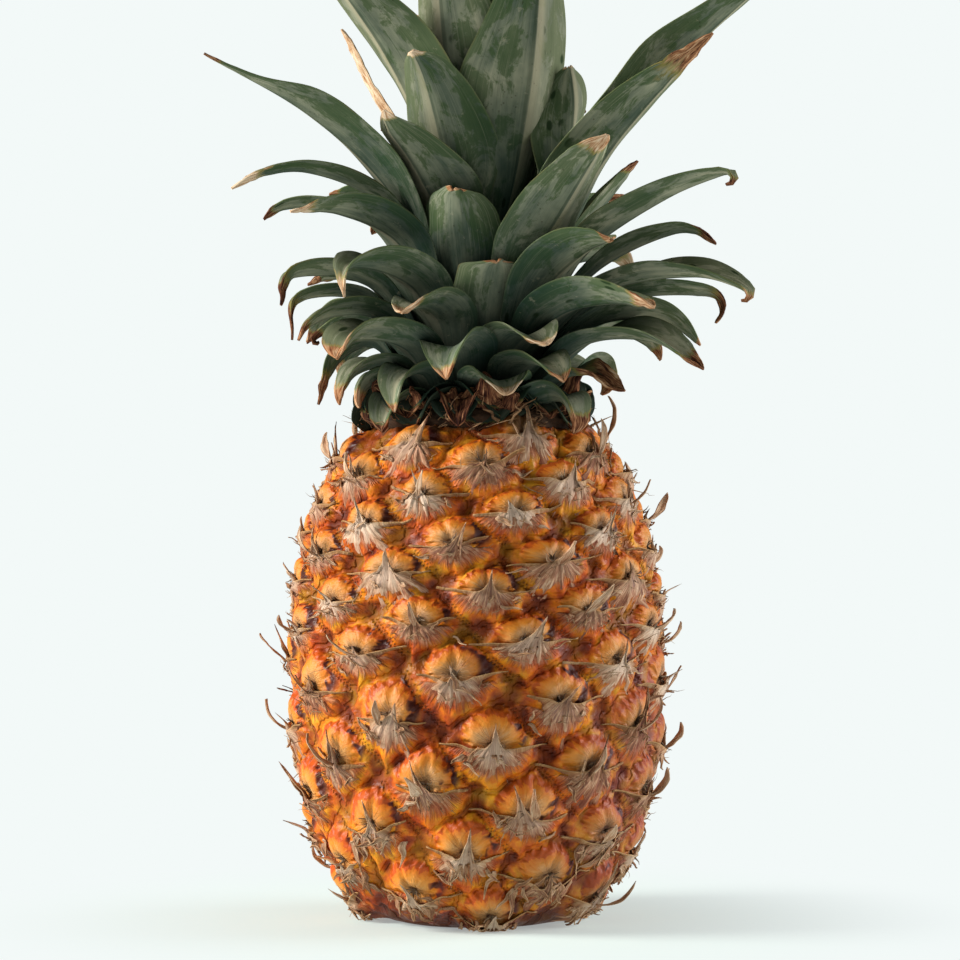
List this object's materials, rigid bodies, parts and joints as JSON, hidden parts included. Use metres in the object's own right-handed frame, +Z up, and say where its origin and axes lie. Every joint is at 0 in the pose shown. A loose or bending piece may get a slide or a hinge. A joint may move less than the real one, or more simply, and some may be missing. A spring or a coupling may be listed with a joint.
{
  "type": "pineapple",
  "caption": "Whole ripe pineapple with its leafy crown, standing upright on its cut base; barrel-shaped fruit with a spiral of raised eyes.",
  "frame": {"origin": "middle of the flat cut base that the fruit stands on", "axes": "+Z up the fruit's own axis towards the crown, -Y the front, +X to the right seen from the front"},
  "size_m": [0.182, 0.1198, 0.3235],
  "materials": {
    "rind": "satin",
    "dried_bract": "matte",
    "stem": "matte",
    "leaf": "satin"
  },
  "bodies": {
    "root": {"fruit_body": "rind", "crown_stem": "stem", "leaf_01": "leaf", "leaf_02": "leaf", "leaf_03": "leaf", "leaf_04": "leaf", "leaf_05": "leaf", "leaf_06": "leaf", "leaf_07": "leaf", "leaf_08": "leaf", "leaf_09": "leaf", "leaf_10": "leaf", "leaf_11": "leaf", "leaf_12": "leaf", "leaf_13": "leaf", "leaf_14": "leaf", "leaf_15": "leaf", "leaf_16": "leaf", "leaf_17": "leaf", "leaf_18": "leaf", "leaf_19": "leaf", "leaf_20": "leaf", "leaf_21": "leaf", "leaf_22": "leaf", "leaf_23": "leaf", "leaf_24": "leaf", "leaf_25": "leaf", "leaf_26": "leaf", "leaf_27": "leaf", "leaf_28": "leaf", "leaf_29": "leaf", "leaf_30": "leaf", "leaf_31": "leaf", "leaf_32": "leaf", "leaf_33": "leaf", "leaf_34": "leaf", "leaf_35": "leaf", "leaf_36": "leaf", "leaf_37": "leaf", "leaf_38": "leaf", "leaf_39": "leaf", "leaf_40": "leaf", "leaf_41": "leaf", "leaf_42": "leaf", "leaf_43": "leaf", "leaf_44": "leaf", "leaf_45": "leaf", "leaf_46": "leaf", "leaf_47": "leaf", "leaf_48": "leaf", "leaf_49": "leaf", "leaf_50": "leaf", "leaf_51": "leaf", "leaf_52": "leaf", "leaf_53": "leaf", "leaf_54": "leaf", "leaf_55": "leaf", "leaf_56": "leaf", "leaf_57": "leaf", "leaf_58": "leaf"}
  },
  "joints": []
}
